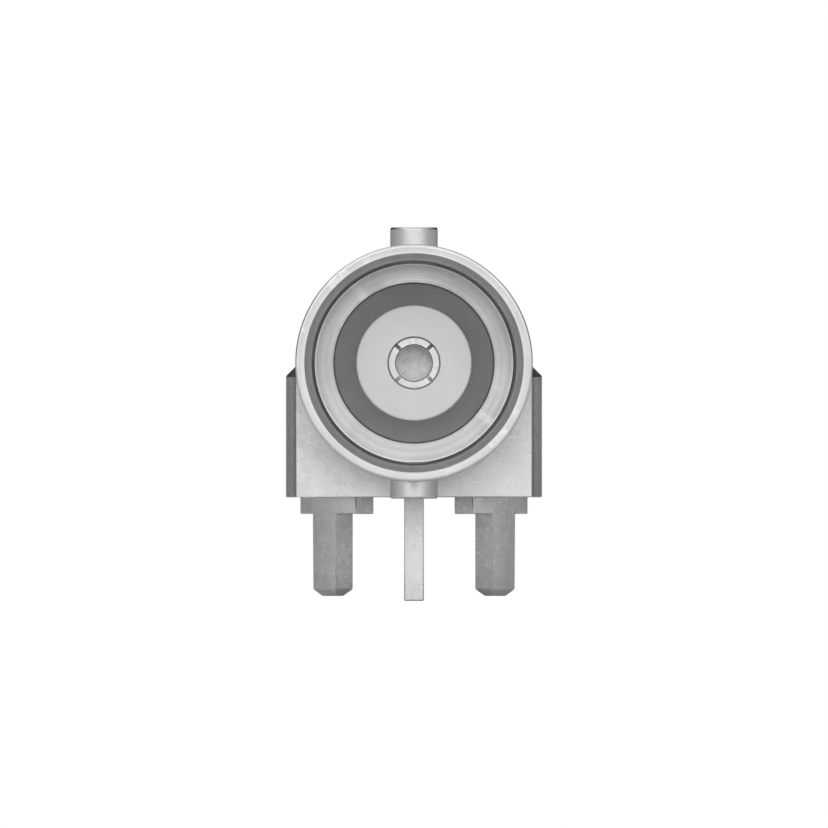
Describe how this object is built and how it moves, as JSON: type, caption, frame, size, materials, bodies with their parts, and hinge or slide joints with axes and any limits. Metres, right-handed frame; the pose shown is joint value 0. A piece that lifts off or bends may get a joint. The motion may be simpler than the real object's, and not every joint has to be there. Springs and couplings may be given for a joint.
{
  "type": "right-angle bayonet coaxial jack",
  "caption": "Right-angle coaxial jack for a circuit board: a bayonet barrel on a round-backed body with solder legs round a square centre pin.",
  "frame": {"origin": "on the board's surface, midway between the four legs, where the solder pin's axis crosses it", "axes": "+Z away from the board, the barrel along Y with its mouth towards -Y, X across the body"},
  "size_m": [0.0104, 0.0214, 0.0151],
  "materials": {
    "plated_body": "satin nickel plate over fine milling",
    "plated_barrel": "bright nickel plate over turning marks",
    "plated_lugs": "bright nickel plate",
    "plated_contact": "silver-grey plate",
    "tinned_pin": "matt tin plate",
    "plated_cap": "satin nickel plate",
    "insulator": "waxy white fluoropolymer, turned"
  },
  "bodies": {
    "root": {"body": "plated_body", "barrel": "plated_barrel", "bayonet_lug_top": "plated_lugs", "bayonet_lug_bottom": "plated_lugs", "front_insulator": "insulator", "socket_contact": "plated_contact", "solder_pin": "tinned_pin", "base_insulator": "insulator", "top_cap": "plated_cap"}
  },
  "joints": []
}
